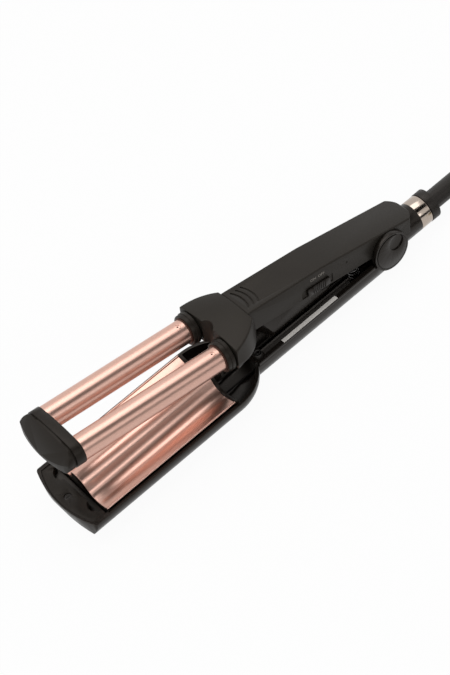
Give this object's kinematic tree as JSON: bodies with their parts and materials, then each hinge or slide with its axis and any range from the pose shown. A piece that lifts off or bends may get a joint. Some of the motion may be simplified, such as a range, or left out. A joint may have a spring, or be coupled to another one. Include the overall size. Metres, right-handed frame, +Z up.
{
  "type": "hair waver",
  "caption": "Deep hair waver: an arm with side-by-side heated barrels is hinged over a heated wave plate in a tray; slide switch, lock knob, opening spring, swivel cord with plug.",
  "frame": {"origin": "on the rest surface, straight below the hinge axis", "axes": "+X along the lower arm towards the cord, +Z up, +Y to the left when looking along +X; the barrels and the tip are towards -X"},
  "size_m": [0.5465, 0.1071, 0.0859],
  "materials": {
    "black_satin_plastic": "satin moulded plastic",
    "black_soft_plastic": "soft-touch coated plastic",
    "black_hot_plastic": "matte heat-resistant plastic",
    "cord_rubber": "matte flexible plastic",
    "rose_gold_coating": "satin rose-gold ceramic coating",
    "foil": "matt silver foil",
    "nickel_ring": "polished warm nickel plating",
    "steel": "plated steel",
    "blackened_steel": "blackened steel screws",
    "brass": "nickel-plated brass",
    "cast_aluminium": "cast, bare",
    "white_ceramic": "white ceramic",
    "lead_insulation": "black glass-fibre sleeve",
    "board_laminate": "green laminate",
    "component_plastic": "black component housings"
  },
  "bodies": {
    "lower_arm": {"lower_housing": "black_satin_plastic", "lower_cover": "black_satin_plastic", "cover_screws": "blackened_steel", "label_strip": "foil", "wave_plate": "rose_gold_coating", "plate_heat_bar": "cast_aluminium", "plate_heater": "white_ceramic", "heater_clamp": "steel", "plate_fuse": "steel", "plate_bracket": "black_hot_plastic", "plate_leads": "lead_insulation", "tip_block": "black_hot_plastic", "tip_screw": "blackened_steel", "hinge_pin": "steel", "pin_cap": "black_satin_plastic", "opening_spring": "steel", "swivel_ring": "nickel_ring", "contact_block": "black_hot_plastic", "mains_cord": "cord_rubber", "cord_coil": "cord_rubber", "cord_tail": "cord_rubber", "mains_plug": "cord_rubber", "plug_pins": "brass"},
    "upper_arm": {"upper_shell": "black_soft_plastic", "inner_cover": "black_satin_plastic", "inner_cover_screws": "blackened_steel", "circuit_board": "board_laminate", "board_parts": "component_plastic", "switch_body": "black_hot_plastic", "head_shell": "black_soft_plastic", "head_base": "black_hot_plastic", "barrel_left": "rose_gold_coating", "barrel_right": "rose_gold_coating", "barrel_collar_left": "black_hot_plastic", "barrel_collar_right": "black_hot_plastic", "barrel_heater_left": "white_ceramic", "barrel_heater_right": "white_ceramic", "heat_spreaders_left": "cast_aluminium", "heat_spreaders_right": "cast_aluminium", "cap_base": "black_hot_plastic", "end_cap": "black_hot_plastic"},
    "slider": {"switch_slider": "black_satin_plastic"},
    "lock": {"lock_knob": "black_satin_plastic"},
    "swivel": {"cord_boot": "cord_rubber"}
  },
  "joints": [
    {"name": "arm_hinge", "type": "hinge", "parent": "lower_arm", "child": "upper_arm", "pos_m": [0, 0, 0.0223], "axis": [0, 1, 0], "range_deg": [-9.6, 0], "stiffness_Nm_per_rad": 0.8, "springref_deg": 34.38, "deforming": ["opening_spring"]},
    {"name": "switch_slide", "type": "slide", "parent": "upper_arm", "child": "slider", "axis": [0.986, 0, -0.1669], "range_m": [-0.004, 0]},
    {"name": "lock_turn", "type": "hinge", "parent": "lower_arm", "child": "lock", "pos_m": [0, 0, 0.0223], "axis": [0, 1, 0], "range_deg": [0, 60]},
    {"name": "cord_swivel", "type": "hinge", "parent": "lower_arm", "child": "swivel", "pos_m": [0.06, 0, 0.01515], "axis": [1, 0, 0], "continuous": true}
  ]
}
